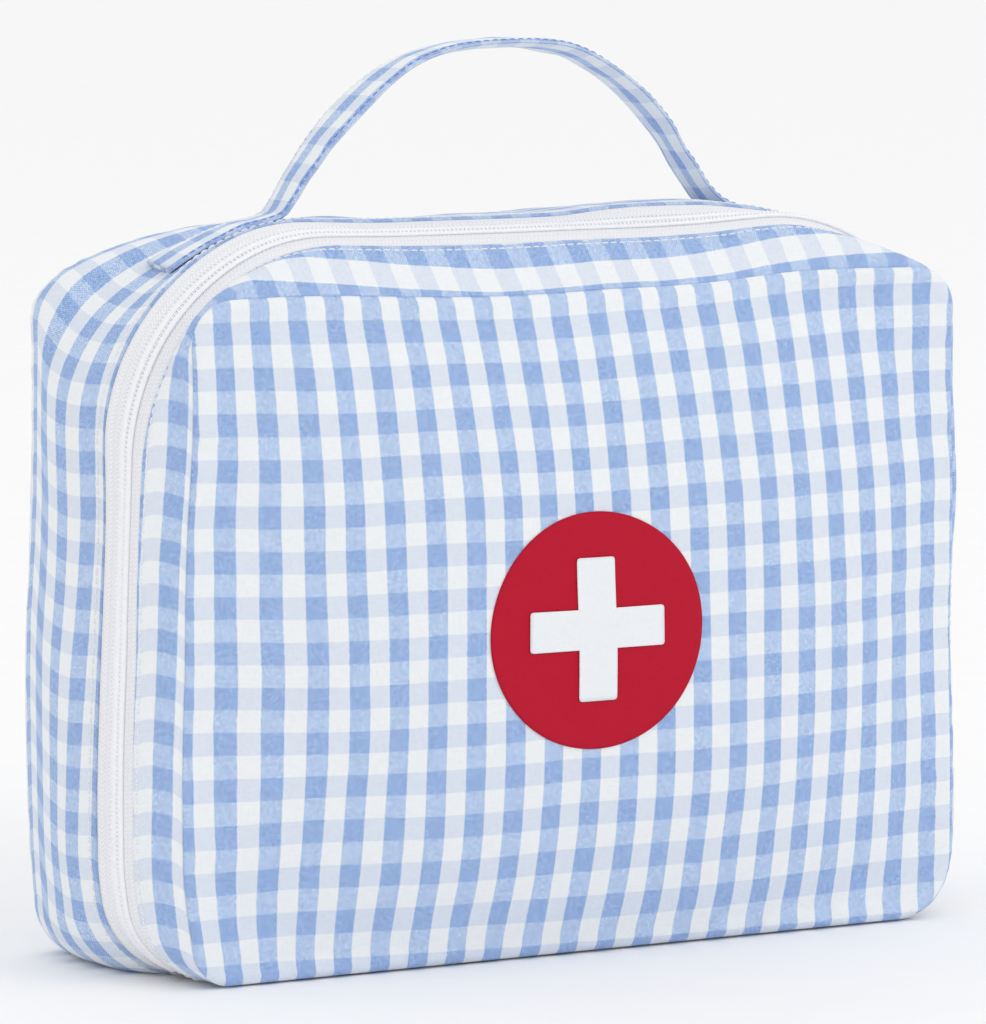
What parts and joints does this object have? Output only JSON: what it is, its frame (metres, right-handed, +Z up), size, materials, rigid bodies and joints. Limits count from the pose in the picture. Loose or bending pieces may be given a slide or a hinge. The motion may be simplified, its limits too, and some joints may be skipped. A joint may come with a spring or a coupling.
{
  "type": "toy doctor case",
  "caption": "Soft zip-round toy case in pale blue gingham with a strap handle and a white cross on a red disc, opening forward on its base.",
  "frame": {"origin": "on the surface that the case stands on, under the middle of its width and depth", "axes": "+X to the case's right as seen from the front, +Y to the back, +Z up"},
  "size_m": [0.2346, 0.0874, 0.2191],
  "materials": {
    "gingham": "plain woven cotton gingham, pale blue and white",
    "foam": "soft foam sheet",
    "lining": "plain white lining cloth",
    "binding": "white folded binding tape",
    "zip_tape": "white woven zip tape",
    "zip_coil": "white nylon coil",
    "zip_metal": "satin",
    "slider_enamel": "white enamel",
    "print_red": "matt print film",
    "print_white": "matt print film"
  },
  "bodies": {
    "rear_shell": {"back_panel": "gingham", "back_panel_foam": "foam", "back_panel_lining": "lining", "back_seam_binding": "binding", "rear_gusset": "gingham", "rear_gusset_foam": "foam", "rear_gusset_lining": "lining", "base_strip": "gingham", "base_foam": "foam", "base_lining": "lining", "rear_zip_tape": "zip_tape", "rear_zip_coil": "zip_coil", "rear_zip_stops": "zip_metal", "handle_end_left": "gingham", "handle_end_right": "gingham", "handle_bend_left": "gingham", "handle_bend_right": "gingham", "base_hinge_fold": "gingham"},
    "front_shell": {"front_panel": "gingham", "front_panel_foam": "foam", "front_panel_lining": "lining", "front_seam_binding": "binding", "front_gusset": "gingham", "front_gusset_lining": "lining", "front_base_strip": "gingham", "front_zip_tape": "zip_tape", "front_zip_coil": "zip_coil", "front_zip_stop": "zip_metal", "emblem_disc": "print_red", "emblem_cross": "print_white"},
    "handle": {"handle_strap": "gingham", "handle_core": "foam"},
    "zip_slider": {"slider_body": "slider_enamel"},
    "zip_pull": {"pull_tab": "slider_enamel"}
  },
  "joints": [
    {"name": "lid_open", "type": "hinge", "parent": "rear_shell", "child": "front_shell", "pos_m": [0, -0.01353, 0], "axis": [1, 0, 0], "range_deg": [0, 180], "deforming": ["base_hinge_fold"]},
    {"name": "handle_fold", "type": "hinge", "parent": "rear_shell", "child": "handle", "pos_m": [0, 0.01073, 0.17709], "axis": [1, 0, 0], "range_deg": [-60, 60], "stiffness_Nm_per_rad": 0.02, "deforming": ["handle_bend_left", "handle_bend_right"]},
    {"name": "slider_slide", "type": "slide", "parent": "rear_shell", "child": "zip_slider", "axis": [0, 0, 1], "range_m": [0, 0.081], "deforming": ["rear_zip_coil", "front_zip_coil"]},
    {"name": "pull_swing", "type": "hinge", "parent": "zip_slider", "child": "zip_pull", "pos_m": [0.115, -0.01353, 0.0385], "axis": [0, -1, 0], "range_deg": [0, 170]}
  ]
}
